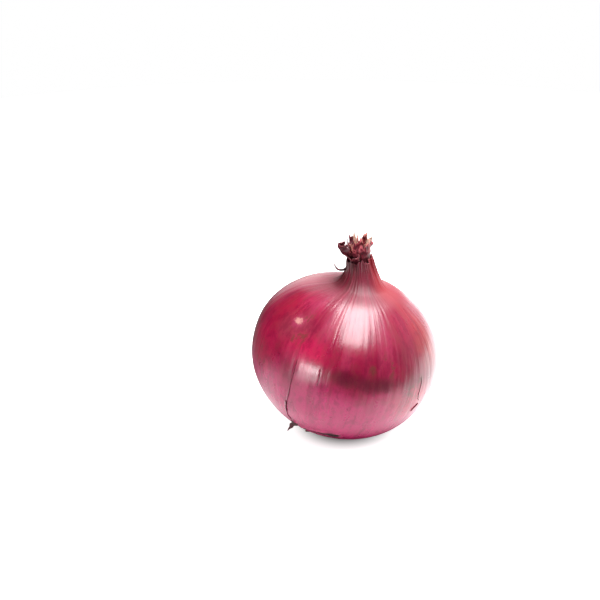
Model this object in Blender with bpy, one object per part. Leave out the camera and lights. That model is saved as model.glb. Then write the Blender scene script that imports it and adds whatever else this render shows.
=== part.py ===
"""A whole red onion, resting on its root end, leaning a little to the right.

Metres, +Z up, front towards -Y, origin on the floor under the middle of the bulb.
The pieces are modelled in the onion's own frame, whose Z runs along the onion's axis and whose
origin is the middle of its widest ring.  The empty onion_axis then leans them all together.
"""

import math

import bmesh
import bpy
from mathutils import Matrix, Vector
from mathutils.geometry import interpolate_bezier

MM = 0.001

# Bulb: the lower half is an ellipse, the upper half two curves up to the neck
WIDEST_RADIUS = 39.0 * MM
BASE_DEPTH = 35.0 * MM
SHOULDER_RADIUS = 15.5 * MM
SHOULDER_HEIGHT = 30.6 * MM
NECK_RADIUS = 5.6 * MM
NECK_HEIGHT = 43.0 * MM
NECK_DISH = 1.0 * MM

# The neck bends back towards -X above the shoulder, along an arc
NECK_BEND = math.radians(17.0)
BEND_START_HEIGHT = 26.0 * MM

# How it lies: the lean of its axis to +X, and how much of the base is pressed flat
LEAN = math.radians(11.0)
REST_FLAT_DEPTH = 1.2 * MM

# Root end: a shallow hollow with the corky disc and the dried roots in it
HOLLOW_RADIUS = 9.0 * MM
HOLLOW_FLOOR_RADIUS = 7.9 * MM
HOLLOW_FLOOR_DEPTH = 30.4 * MM
DISC_RADIUS = 6.2 * MM
DISC_THICKNESS = 1.3 * MM
SPLAYED_ROOT_COUNT = 9
CURLED_ROOT_COUNT = 4
ROOT_RADIUS = 0.42 * MM
ROOT_RING_RADIUS = 7.1 * MM

# Small shape of the bulb
LOBE_SIZE = 0.008
PLEAT_COUNT = 12
BROAD_PLEAT_COUNT = 7
PLEAT_SIZE = 0.05
PLEAT_START_HEIGHT = 27.0 * MM

GAP = 0.3 * MM
LEAF_THICKNESS = 0.5 * MM
LEAF_TAPER = 0.62
LEAF_CUP = 0.32
FLAKE_THICKNESS = 0.4 * MM

SPIN_STEPS = 72

# Dried leaf ends: azimuth in degrees (0 right, 270 front), distance of the foot from the axis,
# width and length in millimetres, then in degrees the lean outwards at the foot, the curl and the
# twist over the length, and the colour
DARK, RED, ROSE, PALE = "dark", "red", "rose", "pale"
LEAVES = {
    "dark_curl_leaf": (190, 4.9, 2.8, 13.5, 46, -96, 10, DARK),
    "front_fold_leaf": (234, 4.9, 2.9, 7.0, 24, 110, 0, DARK),
    "front_strip_leaf": (270, 4.9, 2.7, 10.5, 4, 14, 10, RED),
    "front_right_leaf": (306, 4.9, 2.7, 8.5, 10, 26, -10, RED),
    "right_scroll_leaf": (342, 4.9, 2.8, 11.5, 16, -26, 12, ROSE),
    "right_leaf": (18, 4.9, 2.6, 8.5, 12, 28, 8, RED),
    "back_right_leaf": (54, 4.9, 2.6, 10.5, 10, 28, -10, ROSE),
    "back_leaf": (90, 4.9, 2.6, 7.5, 14, 46, 8, RED),
    "back_left_leaf": (125, 4.9, 2.5, 10.0, 16, 30, -8, DARK),
    "left_short_leaf": (157, 4.9, 2.3, 6.0, 26, 30, 4, RED),
    "pale_tip_leaf": (205, 1.9, 2.7, 12.5, 10, -6, 10, PALE),
    "pale_scroll_leaf": (310, 2.0, 2.6, 10.5, 4, 12, -12, PALE),
    "inner_back_leaf": (85, 1.9, 2.6, 9.5, 4, 16, 8, ROSE),
}

COLOURS = {
    DARK: (0.060, 0.006, 0.014),
    RED: (0.260, 0.012, 0.045),
    ROSE: (0.480, 0.110, 0.150),
    PALE: (0.760, 0.520, 0.400),
    "skin": (0.430, 0.020, 0.085),
    "cork": (0.240, 0.130, 0.060),
    "root": (0.420, 0.280, 0.130),
}


def clear_scene():
    for old in list(bpy.data.objects):
        bpy.data.objects.remove(old, do_unlink=True)


def material(name, colour, roughness):
    made = bpy.data.materials.new(name)
    made.use_nodes = True
    shader = made.node_tree.nodes["Principled BSDF"]
    shader.inputs["Base Color"].default_value = (*COLOURS[colour], 1.0)
    shader.inputs["Roughness"].default_value = roughness
    shader.inputs["Metallic"].default_value = 0.0
    return made


def add_object(name, data, parent, colour, roughness):
    piece = bpy.data.objects.new(name, data)
    bpy.context.scene.collection.objects.link(piece)
    piece.parent = parent
    if colour:
        data.materials.append(material(name + "_material", colour, roughness))
    return piece


def mesh_from(bm, name):
    mesh = bpy.data.meshes.new(name)
    bm.to_mesh(mesh)
    bm.free()
    mesh.shade_smooth()
    return mesh


def smooth_ramp(value, start, end):
    """0 below start, 1 above end, and a soft rise between."""
    t = min(max((value - start) / (end - start), 0.0), 1.0)
    return t * t * (3.0 - 2.0 * t)


def bulb_outline():
    """The bulb's half section from the middle of the root hollow up to the middle of the neck."""
    floor_edge = Vector((HOLLOW_FLOOR_RADIUS, 0.0, -HOLLOW_FLOOR_DEPTH - 0.6 * MM))
    points = [Vector((0.0, 0.0, -HOLLOW_FLOOR_DEPTH)), Vector((3.6 * MM, 0.0, -HOLLOW_FLOOR_DEPTH))]
    points.append(floor_edge)

    first_angle = math.asin(HOLLOW_RADIUS / WIDEST_RADIUS)
    lower_rings = 14
    for ring in range(lower_rings):
        angle = first_angle + (math.pi / 2 - first_angle) * ring / lower_rings
        points.append(Vector((WIDEST_RADIUS * math.sin(angle), 0.0, -BASE_DEPTH * math.cos(angle))))

    widest = Vector((WIDEST_RADIUS, 0.0, 0.0))
    shoulder = Vector((SHOULDER_RADIUS, 0.0, SHOULDER_HEIGHT))
    neck = Vector((NECK_RADIUS, 0.0, NECK_HEIGHT))
    widest_handle = widest + Vector((0.0, 0.0, 17.0 * MM))
    shoulder_handle = shoulder + Vector((12.0, 0.0, -3.8)) * MM
    neck_start_handle = shoulder + Vector((-5.9, 0.0, 1.9)) * MM
    neck_handle = neck + Vector((-0.2, 0.0, -6.5)) * MM
    points += interpolate_bezier(widest, widest_handle, shoulder_handle, shoulder, 12)[:-1]
    points += interpolate_bezier(shoulder, neck_start_handle, neck_handle, neck, 9)

    points.append(Vector((NECK_RADIUS * 0.62, 0.0, NECK_HEIGHT - NECK_DISH * 0.6)))
    points.append(Vector((0.0, 0.0, NECK_HEIGHT - NECK_DISH)))
    return points


def shape_factor(azimuth, height):
    """How far the skin stands out at a place: broad lobes on the bulb, pleats up the neck."""
    lobes = math.cos(2.0 * azimuth + 0.6) + 0.7 * math.cos(3.0 * azimuth - 1.1)
    pleats = math.cos(PLEAT_COUNT * azimuth + 0.9 * math.sin(2.0 * azimuth))
    pleats += 0.6 * math.cos(BROAD_PLEAT_COUNT * azimuth + 0.8)
    neckness = smooth_ramp(height, PLEAT_START_HEIGHT, NECK_HEIGHT - 5.0 * MM)
    return 1.0 + LOBE_SIZE * lobes * (1.0 - neckness) + PLEAT_SIZE * pleats * neckness


def bend_neck(place):
    """Where a place of the straight onion comes to lie once its neck is bent."""
    rise = place.z - BEND_START_HEIGHT
    if rise <= 0.0:
        return place
    bent_length = NECK_HEIGHT - BEND_START_HEIGHT
    arc_radius = bent_length / NECK_BEND
    angle = NECK_BEND * min(rise / bent_length, 1.0)
    beyond = max(rise - bent_length, 0.0)
    middle_x = -arc_radius * (1.0 - math.cos(angle)) - beyond * math.sin(angle)
    middle_z = BEND_START_HEIGHT + arc_radius * math.sin(angle) + beyond * math.cos(angle)
    return Vector((middle_x + place.x * math.cos(angle), place.y, middle_z + place.x * math.sin(angle)))


def bulb(parent):
    bm = bmesh.new()
    outline = [bm.verts.new(point) for point in bulb_outline()]
    edges = [bm.edges.new(pair) for pair in zip(outline, outline[1:])]
    bmesh.ops.spin(bm, geom=outline + edges, axis=(0, 0, 1), cent=(0, 0, 0),
                   angle=2.0 * math.pi, steps=SPIN_STEPS, use_merge=True)
    bmesh.ops.remove_doubles(bm, verts=bm.verts, dist=0.01 * MM)
    bmesh.ops.recalc_face_normals(bm, faces=bm.faces)
    for vert in bm.verts:
        azimuth = math.atan2(vert.co.y, vert.co.x)
        factor = shape_factor(azimuth, vert.co.z)
        vert.co = bend_neck(Vector((vert.co.x * factor, vert.co.y * factor, vert.co.z)))
    return add_object("bulb", mesh_from(bm, "bulb"), parent, "skin", 0.28)


def press_flat(piece):
    """Cuts the base off level with the floor, which leaves the flat spot that the onion rests on."""
    depth = 12.0 * MM
    bm = bmesh.new()
    bmesh.ops.create_cube(bm, size=1.0, matrix=Matrix.Diagonal((0.2, 0.2, depth, 1.0)))
    cutter = add_object("floor_cutter", mesh_from(bm, "floor_cutter"), None, None, None)
    cutter.location.z = -depth / 2
    cutter.hide_render = True
    cutter.display_type = "WIRE"
    cut = piece.modifiers.new("rest_flat", "BOOLEAN")
    cut.operation = "DIFFERENCE"
    cut.solver = "EXACT"
    cut.object = cutter


def leaf_path(lean, curl, length, rows):
    """Points and directions along a leaf end that leaves its foot leaning and then curls."""
    points, angles = [], []
    here = Vector((0.0, 0.0, 0.0))
    for row in range(rows + 1):
        along = row / rows
        angle = lean + curl * along ** 1.4
        points.append(here.copy())
        angles.append(angle)
        here += Vector((math.sin(angle), 0.0, math.cos(angle))) * (length / rows)
    return points, angles


def leaf_end(name, parent, azimuth, foot_radius, width, length, lean, curl, twist, colour):
    """One dried leaf end: a tapering, cupped and curled strip standing on the neck."""
    rows, columns = 9, 4
    points, angles = leaf_path(math.radians(lean), math.radians(curl), length * MM, rows)
    bm = bmesh.new()
    grid = []
    for row, (point, angle) in enumerate(zip(points, angles)):
        along = row / rows
        half_width = width * MM / 2 * (1.0 - LEAF_TAPER * smooth_ramp(along, 0.4, 1.0))
        turn = math.radians(twist) * along
        line = []
        for column in range(columns + 1):
            across = 2.0 * column / columns - 1.0
            side = half_width * across
            cup = -LEAF_CUP * half_width * across * across
            out, sideways = cup, side
            if turn:
                out = cup * math.cos(turn) - side * math.sin(turn)
                sideways = cup * math.sin(turn) + side * math.cos(turn)
            place = point + Vector((out * math.cos(angle), sideways, -out * math.sin(angle)))
            line.append(bm.verts.new(place))
        grid.append(line)
    for lower, upper in zip(grid, grid[1:]):
        for column in range(columns):
            bm.faces.new((lower[column], lower[column + 1], upper[column + 1], upper[column]))
    turn_to_place = Matrix.Rotation(math.radians(azimuth), 4, "Z")
    foot = Vector((foot_radius * MM, 0.0, NECK_HEIGHT + GAP + leaf_foot_rise(lean)))
    for vert in bm.verts:
        vert.co = bend_neck(turn_to_place @ (foot + vert.co))
    piece = add_object(name, mesh_from(bm, name), parent, colour, 0.55)
    wall = piece.modifiers.new("thickness", "SOLIDIFY")
    wall.thickness = LEAF_THICKNESS
    wall.offset = 0.0
    return piece


def leaf_foot_rise(lean):
    """Lifts a leaning foot, so that its lower edge still clears the neck by the gap."""
    return LEAF_THICKNESS / 2 * abs(math.sin(math.radians(lean))) + 0.2 * MM


def hook_strand(parent):
    """A thin dried strand that leaves the neck low on the left and hooks up at its end."""
    start = Vector((-7.0, -1.1, 38.6)) * MM
    points = [start, start + Vector((-1.8, -0.3, -1.0)) * MM,
              start + Vector((-3.8, -0.4, -0.3)) * MM, start + Vector((-4.6, -0.4, 2.0)) * MM]
    curve = tube_curve("hook_strand", [bend_neck(point) for point in points], 0.42 * MM, 3)
    return add_object("hook_strand", curve, parent, DARK, 0.6)


def tube_curve(name, points, radius, steps_between):
    """A round strand through the points, thinner at its tip, with closed ends."""
    curve = bpy.data.curves.new(name, "CURVE")
    curve.dimensions = "3D"
    curve.bevel_depth = radius
    curve.bevel_resolution = 1
    curve.use_fill_caps = True
    path = smooth_path(points, steps_between)
    spline = curve.splines.new("POLY")
    spline.points.add(len(path) - 1)
    for index, (slot, point) in enumerate(zip(spline.points, path)):
        slot.co = (*point, 1.0)
        slot.radius = 1.0 - 0.45 * index / (len(path) - 1)
    return curve


def smooth_path(points, steps_between):
    """A smooth run through the points, as curve pieces whose handles follow the neighbours."""
    path = []
    for index in range(len(points) - 1):
        before = points[max(index - 1, 0)]
        start, end = points[index], points[index + 1]
        after = points[min(index + 2, len(points) - 1)]
        start_handle = start + (end - before) / 6.0
        end_handle = end - (after - start) / 6.0
        path += interpolate_bezier(start, start_handle, end_handle, end, steps_between + 1)[:-1]
    path.append(points[-1])
    return path


def root_disc(parent):
    """The corky disc that the roots grow from, domed a little, inside the root hollow."""
    bm = bmesh.new()
    top = -HOLLOW_FLOOR_DEPTH - 0.6 * MM - GAP
    rim = top - DISC_THICKNESS * 0.6
    outline = [Vector((0.0, 0.0, top)), Vector((DISC_RADIUS * 0.94, 0.0, top)),
               Vector((DISC_RADIUS, 0.0, rim)), Vector((DISC_RADIUS * 0.8, 0.0, top - DISC_THICKNESS)),
               Vector((DISC_RADIUS * 0.35, 0.0, top - DISC_THICKNESS * 0.85)),
               Vector((0.0, 0.0, top - DISC_THICKNESS * 0.7))]
    verts = [bm.verts.new(point) for point in outline]
    edges = [bm.edges.new(pair) for pair in zip(verts, verts[1:])]
    bmesh.ops.spin(bm, geom=verts + edges, axis=(0, 0, 1), cent=(0, 0, 0),
                   angle=2.0 * math.pi, steps=24, use_merge=True)
    bmesh.ops.remove_doubles(bm, verts=bm.verts, dist=0.01 * MM)
    bmesh.ops.recalc_face_normals(bm, faces=bm.faces)
    return add_object("root_disc", mesh_from(bm, "root_disc"), parent, "cork", 0.85)


def underside_depth(radius):
    """How far below the widest ring the lower ellipse lies, at a distance from the axis."""
    return BASE_DEPTH * math.sqrt(1.0 - (radius / WIDEST_RADIUS) ** 2)


def ring_place(radius, depth, azimuth):
    return Vector((radius * math.cos(azimuth), radius * math.sin(azimuth), -depth))


def splayed_root(number, parent):
    """A dried root that leaves the disc's edge, bends over the hollow's lip and lies back
    under the bulb, on the side where the leaning bulb stands clear of the floor."""
    spread = math.radians(50.0)
    azimuth = math.pi + spread * (2.0 * number / (SPLAYED_ROOT_COUNT - 1) - 1.0)
    reach = 5.0 * MM * (1.0 + 0.35 * math.sin(2.4 * number))
    sway = 0.03 * math.sin(1.7 * number)
    hang = ROOT_RADIUS + GAP + 0.15 * MM
    lip = HOLLOW_RADIUS - 0.5 * MM
    past_lip = HOLLOW_RADIUS + 2.2 * MM
    end = past_lip + reach
    droop = 0.35 * MM * (1.0 + math.cos(1.9 * number))
    points = [ring_place(ROOT_RING_RADIUS, HOLLOW_FLOOR_DEPTH + 1.9 * MM, azimuth),
              ring_place(lip, underside_depth(lip) + hang, azimuth),
              ring_place(past_lip, underside_depth(past_lip) + hang, azimuth + sway),
              ring_place(end, underside_depth(end) + hang + droop, azimuth + 2.0 * sway)]
    curve = tube_curve("splayed_root", points, ROOT_RADIUS, 3)
    return add_object(f"root_{number + 1:02d}", curve, parent, "root", 0.75)


def curled_root(number, parent):
    """A short dried root that stays curled round in the hollow, between the disc and the lip."""
    start = math.radians(-105.0 + 58.0 * number)
    depth = HOLLOW_FLOOR_DEPTH + 1.7 * MM
    points = [ring_place(ROOT_RING_RADIUS + 0.1 * MM * step, depth - 0.12 * MM * step,
                         start + math.radians(13.0) * step) for step in range(4)]
    curve = tube_curve("curled_root", points, ROOT_RADIUS * 0.85, 2)
    return add_object(f"root_{SPLAYED_ROOT_COUNT + number + 1:02d}", curve, parent, "root", 0.75)


def skin_flake(parent):
    """A torn point of outer skin, low on the front left, that lies on the bulb and then curls off."""
    azimuth = math.radians(235.0)
    height = -25.0 * MM
    radius = WIDEST_RADIUS * math.sqrt(1.0 - (height / BASE_DEPTH) ** 2)
    outward = Vector((math.cos(azimuth), math.sin(azimuth), 0.0))
    around = Vector((-math.sin(azimuth), math.cos(azimuth), 0.0))
    normal = outward * (radius / WIDEST_RADIUS ** 2) + Vector((0.0, 0.0, height / BASE_DEPTH ** 2))
    normal.normalize()
    downward = around.cross(normal)
    downward *= -math.copysign(1.0, downward.z)
    along_skin = (downward - 0.8 * around).normalized()
    across = normal.cross(along_skin)

    rows, length, width = 8, 6.2 * MM, 2.8 * MM
    step = length / rows
    here = outward * radius + Vector((0.0, 0.0, height)) + normal * (FLAKE_THICKNESS / 2 + 2.0 * GAP)
    bm = bmesh.new()
    grid = []
    for row in range(rows + 1):
        part_way = row / rows
        rise = math.radians(12.0 + 62.0 * part_way)
        half_width = width / 2 * (1.0 - 0.86 * part_way)
        grid.append([bm.verts.new(here + across * half_width * side) for side in (-1.0, 0.0, 1.0)])
        here = here + (along_skin * math.cos(rise) + normal * math.sin(rise)) * step
    for lower, upper in zip(grid, grid[1:]):
        for column in range(2):
            bm.faces.new((lower[column], lower[column + 1], upper[column + 1], upper[column]))
    piece = add_object("skin_flake", mesh_from(bm, "skin_flake"), parent, DARK, 0.5)
    wall = piece.modifiers.new("thickness", "SOLIDIFY")
    wall.thickness = FLAKE_THICKNESS
    wall.offset = 0.0
    return piece


def settle(axis, piece):
    """Sets the leaning onion on the floor and brings the middle of its bulb over the origin."""
    lowest = math.hypot(WIDEST_RADIUS * math.sin(LEAN), BASE_DEPTH * math.cos(LEAN))
    axis.rotation_euler.y = LEAN
    axis.location.z = lowest - REST_FLAT_DEPTH
    bpy.context.view_layer.update()
    places = [piece.matrix_world @ vert.co for vert in piece.data.vertices]
    for side in range(2):
        low = min(place[side] for place in places)
        high = max(place[side] for place in places)
        axis.location[side] = -(low + high) / 2


def main():
    clear_scene()
    axis = bpy.data.objects.new("onion_axis", None)
    bpy.context.scene.collection.objects.link(axis)
    body = bulb(axis)
    press_flat(body)
    for name, values in LEAVES.items():
        leaf_end(name, axis, *values)
    hook_strand(axis)
    root_disc(axis)
    for number in range(SPLAYED_ROOT_COUNT):
        splayed_root(number, axis)
    for number in range(CURLED_ROOT_COUNT):
        curled_root(number, axis)
    skin_flake(axis)
    settle(axis, body)


main()
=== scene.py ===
# %% [markdown]
# # A red onion
#
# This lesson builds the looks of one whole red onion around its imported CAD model. The CAD
# model fixes the sizes and where everything sits. Here the onion gets its real surface:
# glossy dry skin with veins, a pleated neck, curled papery leaf ends, torn skin edges and
# roots. Everything is in metres, with +Z up and the front towards -Y.

import math
from types import SimpleNamespace

import bpy
import numpy as np
from mathutils import Euler, Matrix, Vector, noise
from mathutils.geometry import interpolate_bezier


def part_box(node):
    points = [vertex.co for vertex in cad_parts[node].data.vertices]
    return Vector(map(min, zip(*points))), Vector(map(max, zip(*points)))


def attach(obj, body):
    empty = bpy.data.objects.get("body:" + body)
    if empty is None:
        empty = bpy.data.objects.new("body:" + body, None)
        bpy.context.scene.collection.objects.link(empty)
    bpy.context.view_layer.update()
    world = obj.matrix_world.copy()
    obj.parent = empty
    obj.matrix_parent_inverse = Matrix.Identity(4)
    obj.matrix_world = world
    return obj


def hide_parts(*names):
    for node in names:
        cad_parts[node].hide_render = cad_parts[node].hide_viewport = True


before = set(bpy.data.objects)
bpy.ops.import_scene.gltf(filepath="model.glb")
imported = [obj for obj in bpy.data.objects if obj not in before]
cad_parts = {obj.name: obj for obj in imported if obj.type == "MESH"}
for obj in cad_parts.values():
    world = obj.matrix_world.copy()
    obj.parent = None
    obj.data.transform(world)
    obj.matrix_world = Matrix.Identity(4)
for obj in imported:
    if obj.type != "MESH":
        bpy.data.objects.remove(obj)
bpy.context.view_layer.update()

# %% [markdown]
# ## The onion's own frame
#
# A real onion is turned round one axis, from its roots to its neck, and this one leans on
# the table. It is much easier to model it upright: Z along the axis and the origin in the
# middle of its widest ring. Each finished piece is then leaned and set down by changing its
# mesh, so every object stays at the origin, as the export and the materials expect.

# %% Sizes of the bulb and how it leans
MM = 0.001
LEAN = math.radians(11.0)
WIDEST_RADIUS = 39.0 * MM
BASE_DEPTH = 35.0 * MM
SHOULDER_RADIUS = 15.5 * MM
SHOULDER_HEIGHT = 30.6 * MM
NECK_RADIUS = 5.6 * MM
NECK_HEIGHT = 43.0 * MM
NECK_BEND = math.radians(17.0)
BEND_START = 26.0 * MM
BENT_LENGTH = NECK_HEIGHT - BEND_START
REST_FLAT_DEPTH = 1.2 * MM
HOLLOW_RADIUS = 9.0 * MM
HOLLOW_FLOOR_DEPTH = 30.4 * MM

bulb_low, bulb_high = (Vector(corner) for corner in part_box("bulb"))
bulb_middle = (bulb_low + bulb_high) / 2
rest_height = math.hypot(WIDEST_RADIUS * math.sin(LEAN), BASE_DEPTH * math.cos(LEAN))
rest_height -= REST_FLAT_DEPTH
axis_foot = Vector((bulb_middle.x, bulb_middle.y, bulb_low.z + rest_height))
lean_and_set_down = Matrix.Translation(axis_foot) @ Matrix.Rotation(LEAN, 4, "Y")
print("middle of the widest ring, once set down:", [round(value / MM, 2) for value in axis_foot])


# %% Small helpers for modelling
SAME_PLACE = 0.002 * MM


def mm(x, y, z):
    """A place or a step, given in millimetres."""
    return Vector((x, y, z)) * MM


def start_clean():
    """Deselects everything, because an operator works on all that is selected."""
    if bpy.context.object and bpy.context.object.mode != "OBJECT":
        bpy.ops.object.mode_set(mode="OBJECT")
    bpy.ops.object.select_all(action="DESELECT")


def add_new(name, operator, **settings):
    """Adds something with an operator and names it."""
    start_clean()
    operator(**settings)
    bpy.context.object.name = name
    return bpy.context.object


def pick(piece):
    start_clean()
    piece.select_set(True)
    bpy.context.view_layer.objects.active = piece


def apply_modifier(piece, kind, **settings):
    """Adds a modifier with its settings and applies it at once."""
    pick(piece)
    modifier = piece.modifiers.new(kind.lower(), kind)
    for name, value in settings.items():
        setattr(modifier, name, value)
    bpy.ops.object.modifier_apply(modifier=modifier.name)


def smooth_surface(piece, levels):
    apply_modifier(piece, "SUBSURF", levels=levels, render_levels=levels)


def ramp(value, start, end):
    """0 before start, 1 after end, and a soft rise between; works on numbers and arrays."""
    t = np.clip((value - start) / (end - start), 0.0, 1.0)
    return t * t * (3.0 - 2.0 * t)


# %% Reading, writing and bending a mesh's points
def get_points(piece):
    points = np.empty(len(piece.data.vertices) * 3)
    piece.data.vertices.foreach_get("co", points)
    return points.reshape(-1, 3)


def set_points(piece, points):
    piece.data.vertices.foreach_set("co", np.asarray(points, dtype=float).ravel())
    piece.data.update()


def face_outwards(piece):
    pick(piece)
    bpy.ops.object.mode_set(mode="EDIT")
    bpy.ops.mesh.select_all(action="SELECT")
    bpy.ops.mesh.remove_doubles(threshold=SAME_PLACE)
    bpy.ops.mesh.normals_make_consistent(inside=False)
    bpy.ops.object.mode_set(mode="OBJECT")


def bend_neck(points):
    """Bends what stands above the shoulder back towards -X, starting and ending softly."""
    rise = np.maximum(points[:, 2] - BEND_START, 0.0)
    part_way = np.minimum(rise / BENT_LENGTH, 1.0)
    beyond = np.maximum(rise - BENT_LENGTH, 0.0)
    angle = NECK_BEND * part_way ** 2 * (3.0 - 2.0 * part_way)
    middle_x = -NECK_BEND * BENT_LENGTH * (part_way ** 3 - part_way ** 4 / 2.0)
    middle_x -= beyond * math.sin(NECK_BEND)
    middle_z = BEND_START + BENT_LENGTH * part_way + beyond * math.cos(NECK_BEND)
    bent = np.stack([middle_x + points[:, 0] * np.cos(angle), points[:, 1],
                     middle_z + points[:, 0] * np.sin(angle)], axis=-1)
    return np.where(rise[:, None] > 0.0, bent, points)


def set_down(piece):
    """Bends the neck's pieces, leans the piece with the onion and rests it on the floor."""
    set_points(piece, bend_neck(get_points(piece)))
    piece.data.transform(lean_and_set_down)
    piece.data.update()


def finish_piece(piece, material, slot, *stands_for):
    """Smooth shading, the material, and its place in the frame."""
    pick(piece)
    bpy.ops.object.shade_smooth()
    piece.data.materials.clear()
    piece.data.materials.append(material)
    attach(piece, "root")
    if stands_for:
        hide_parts(*stands_for)
    print(piece.name, "has", len(piece.data.polygons), "faces")


# %% [markdown]
# ## The skin's relief
#
# The bulb isn't a plain turned shape. Its scales push it out into broad, soft lobes. Fine
# veins run from the root end to the neck. Towards the neck the skins have dried and shrunk,
# so they gather into pleats that get deeper the higher they go. Low at the front the outer
# skin has parted from the next one and leaves a slit. All of it depends on the direction
# round the axis and the height, so one function of the two can hold it. The bulb uses it,
# and so do the torn strips that have to lie on the bulb.

# %% The outline from the root hollow to the neck
widest = Vector((WIDEST_RADIUS, 0.0, 0.0))
shoulder = Vector((SHOULDER_RADIUS, 0.0, SHOULDER_HEIGHT))
neck_foot = mm(9.2, 0, 33.6)
neck = Vector((NECK_RADIUS, 0.0, NECK_HEIGHT))


def upper_outline(steps):
    """Three curves: up the side to the shoulder, in to the foot of the neck, and up the neck."""
    side = interpolate_bezier(widest, widest + mm(0, 0, 17),
                              shoulder + mm(12, 0, -3.8), shoulder, steps)
    foot = interpolate_bezier(shoulder, shoulder + mm(-3.6, 0, 1.15),
                              neck_foot + mm(1.7, 0, -1.8), neck_foot, steps // 3)
    rise = interpolate_bezier(neck_foot, neck_foot + mm(-1.5, 0, 1.6),
                              neck + mm(0.25, 0, -4), neck, steps // 3)
    return side[:-1] + foot[:-1] + rise


def lower_outline(steps):
    """From the lip of the root hollow out to the widest ring, along an ellipse."""
    first = math.asin(HOLLOW_RADIUS / WIDEST_RADIUS)
    angles = [first + (math.pi / 2 - first) * step / steps for step in range(steps)]
    return [Vector((WIDEST_RADIUS * math.sin(angle), 0.0, -BASE_DEPTH * math.cos(angle)))
            for angle in angles]


OUTLINE_STEPS = 44
outline = lower_outline(OUTLINE_STEPS) + upper_outline(OUTLINE_STEPS)
outline_heights = np.array([point.z for point in outline])
outline_radii = np.array([point.x for point in outline])
print("the outline has", len(outline), "points")


# %% How far the skin stands out, by direction and height
PLEATS = 12
BROAD_PLEATS = 7
NARROW_PLEATS = 33
VEINS = 58

# the slit in the skin: degrees round, height and depth in millimetres
SLIT = np.array([(232, -28, 0), (244, -26.5, 0.4), (258, -25.5, 0.8),
                 (268, -25, 2.4), (276, -24.2, 2.2), (279, -23.8, 0)])
SLIT_WIDTH = 0.85 * MM


def lobes(turn):
    return 0.008 * (np.cos(2.0 * turn + 0.6) + 0.7 * np.cos(3.0 * turn - 1.1))


def pleat_depth(turn, height):
    """Rounded ridges with sharp valleys, as gathered paper has; 0 on a ridge, about 1 in a valley."""
    drift = 1.4 * np.sin(2.0 * turn) + 0.5 * np.sin(height / (5.0 * MM) + 3.0 * turn)
    wide = 1.0 - np.abs(np.cos(0.5 * (PLEATS * turn + drift)))
    broad = 1.0 - np.abs(np.cos(0.5 * (BROAD_PLEATS * turn + 0.8)))
    narrow = 1.0 - np.abs(np.cos(0.5 * (NARROW_PLEATS * turn + 4.0 * np.sin(3.0 * turn))))
    return 0.5 * wide ** 1.5 + 0.3 * broad ** 2 + 0.35 * narrow ** 1.5


def relief(turn, height):
    """Distance that the skin stands out from the turned shape, in metres."""
    neckness = ramp(height, 24.0 * MM, 38.0 * MM)
    near_lip = ramp(height, 35.0 * MM, 42.5 * MM)
    shoulder_pull = ramp(height, 14.0 * MM, 32.0 * MM) * (1.0 - neckness)
    radius = np.interp(height, outline_heights, outline_radii)
    out = radius * lobes(turn) * (1.0 - neckness)
    depth = 0.10 * MM * shoulder_pull + 0.38 * MM * neckness + 1.25 * MM * near_lip
    out += 0.25 * MM * neckness - pleat_depth(turn, height) * depth
    veins = np.cos(VEINS * turn + 2.2 * np.sin(5.0 * turn) + 1.2 * np.sin(height / (9.0 * MM)))
    out += 0.022 * MM * veins * (1.0 - neckness)
    soft_dents = np.sin(3.0 * turn + height / (11.0 * MM)) * np.sin(2.0 * turn - height / (7.0 * MM))
    out += 0.22 * MM * soft_dents * (1.0 - neckness)
    degrees = np.degrees(turn) % 360.0
    slit_height = np.interp(degrees, SLIT[:, 0], SLIT[:, 1]) * MM
    slit_depth = np.interp(degrees, SLIT[:, 0], SLIT[:, 2]) * MM
    out -= slit_depth * np.exp(-((height - slit_height) / SLIT_WIDTH) ** 2)
    root_gather = ramp(-height, 27.0 * MM, 34.0 * MM)
    out += 0.22 * MM * root_gather * (np.abs(np.cos(11.0 * turn + np.sin(2.0 * turn))) - 0.6)
    return out


# %% Places on the skin
def skin_radius(turn, height):
    return np.interp(height, outline_heights, outline_radii) + relief(turn, height)


def skin_points(turn, height, lift):
    """Points on the bulb's skin, or lifted off it by a distance along the skin's normal."""
    radius = skin_radius(turn, height)
    step = 0.2 * MM
    slope = (np.interp(height + step, outline_heights, outline_radii)
             - np.interp(height - step, outline_heights, outline_radii)) / (2.0 * step)
    steepness = np.sqrt(1.0 + slope ** 2)
    radius = radius + lift / steepness
    z = height - lift * slope / steepness
    return np.stack([radius * np.cos(turn), radius * np.sin(turn), z], axis=-1)


all_round = np.linspace(0.0, 2.0 * math.pi, 721)
lip_relief = relief(all_round, np.full_like(all_round, NECK_HEIGHT))
print("at the lip the pleats are", round(float(np.ptp(lip_relief)) / MM, 1), "mm deep")


# %% [markdown]
# ## The bulb
#
# The bulb and its neck grew as one piece. A turned shape is the classic job for spin: a
# single point is extruded along the half outline, then spun round the axis, like throwing
# a pot. The outline goes on over the torn lip of the neck and down inside it, and at the
# other end it turns in to the root hollow. One subdivision makes the mesh fine enough for
# the pleats and veins, which are then pressed in by the relief function.

# %% The half outline, extruded point by point, and the spin
NECK_WALL = 0.9 * MM
NECK_CUP_DEPTH = 7.0 * MM
SPIN_STEPS = 190
ON_AXIS = 0.1 * MM

# radius and depth below the hollow's floor, both in millimetres
HOLLOW_STEPS = [(0.1, 0), (3, 0.1), (6, 0.3), (7.6, 0.9), (8.3, 2.2), (8.6, 3.3)]
# shares of the neck's inner radius and of the cup's depth
CUP_STEPS = [(1, 0), (0.96, 0.3), (0.86, 0.6), (0.7, 0.9), (0.4, 1), (0, 1)]

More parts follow.
